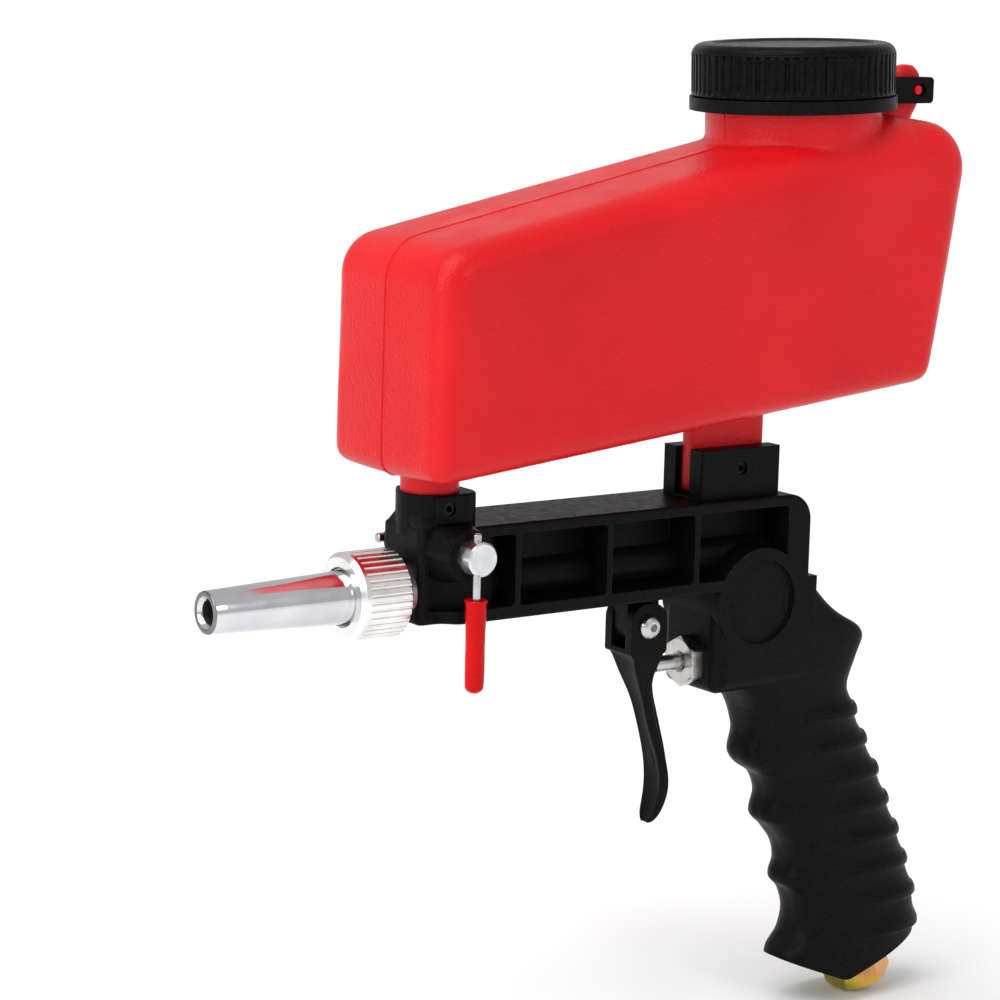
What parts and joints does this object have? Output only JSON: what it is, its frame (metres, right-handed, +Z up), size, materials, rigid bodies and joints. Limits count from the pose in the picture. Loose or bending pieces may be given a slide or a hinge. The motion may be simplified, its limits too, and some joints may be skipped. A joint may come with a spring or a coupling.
{
  "type": "gravity feed sandblasting gun",
  "caption": "Hand-held blasting gun: red abrasive hopper with hinged-ring screw cap on a black pistol body with trigger air valve, flow lever and screw-on nozzle.",
  "frame": {"origin": "centre of the nozzle's outlet", "axes": "+X runs back along the barrel from the outlet, +Y points to the side away from the flow lever (the user's right), +Z is up through the hopper"},
  "size_m": [0.2699, 0.064, 0.3105],
  "materials": {
    "red_polyethylene": "satin, fine orange-peel",
    "black_nylon": "satin, fine moulded grain",
    "bright_plate": "mirror bright",
    "satin_nickel": "satin",
    "plain_steel": "turned",
    "stainless_steel": "satin",
    "brass": "turned",
    "aluminium": "turned",
    "red_vinyl": "soft gloss",
    "yellow_zinc": "iridescent yellow passivation",
    "grey_zinc": "satin zinc",
    "black_rubber": "matt",
    "grey_foam": "matt"
  },
  "bodies": {
    "gun": {"pistol_body": "black_nylon", "nozzle_holder": "plain_steel", "air_jet": "brass", "gland_nut": "grey_zinc", "gland_seal": "black_rubber", "valve_seat": "brass", "valve_spring": "stainless_steel", "inlet_fitting": "yellow_zinc", "hopper": "red_polyethylene", "cap_ring": "black_nylon", "hinge_pin": "red_polyethylene", "collar_screw": "stainless_steel", "bracket_screw": "stainless_steel"},
    "trigger": {"trigger": "black_nylon", "pivot_screw": "stainless_steel", "pivot_nut": "stainless_steel"},
    "valve_stem": {"valve_pin": "plain_steel", "poppet_seal": "black_rubber"},
    "flow_valve": {"flow_shaft": "aluminium", "shaft_seals": "black_rubber", "lever_rod": "plain_steel", "lever_sleeve": "red_vinyl", "retaining_pin": "plain_steel"},
    "cap_seal": {"cap_gasket": "grey_foam"},
    "cap": {"cap": "black_nylon"},
    "nozzle": {"nozzle": "bright_plate", "nozzle_seal": "black_rubber"},
    "nozzle_nut": {"nozzle_nut": "satin_nickel"}
  },
  "joints": [
    {"name": "trigger_pull", "type": "hinge", "parent": "gun", "child": "trigger", "pos_m": [0.1519, 0, -0.0186], "axis": [0, -1, 0], "range_deg": [0, 16], "stiffness_Nm_per_rad": 0.5, "springref_deg": -17.19},
    {"name": "stem_slide", "type": "slide", "parent": "gun", "child": "valve_stem", "axis": [1, 0, 0], "range_m": [0, 0.0041], "deforming": ["valve_spring"]},
    {"name": "flow_valve_turn", "type": "hinge", "parent": "gun", "child": "flow_valve", "pos_m": [0.0762, 0, 0.0125], "axis": [0, -1, 0], "range_deg": [0, 90]},
    {"name": "cap_turn", "type": "hinge", "parent": "cap_seal", "child": "cap", "pos_m": [0.2067, 0, 0.13], "axis": [-0.0384, 0, 0.9993], "range_deg": [0, 1080]},
    {"name": "cap_lift", "type": "slide", "parent": "gun", "child": "cap_seal", "axis": [-0.0384, 0, 0.9993], "range_m": [0, 0.0181]},
    {"name": "nut_turn", "type": "hinge", "parent": "nozzle", "child": "nozzle_nut", "pos_m": [0.053, 0, 0], "axis": [-1, 0, 0], "range_deg": [0, 2560]},
    {"name": "nozzle_slide", "type": "slide", "parent": "gun", "child": "nozzle", "axis": [-1, 0, 0], "range_m": [0, 0.0105]}
  ],
  "couplings": [
    {"joint": "stem_slide", "follows": "trigger_pull", "m_per_rad": 0.0143},
    {"joint": "cap_lift", "follows": "cap_turn", "m_per_rad": 0.00095493},
    {"joint": "nut_turn", "follows": "nozzle_slide", "rad_per_m": 4188.8}
  ]
}
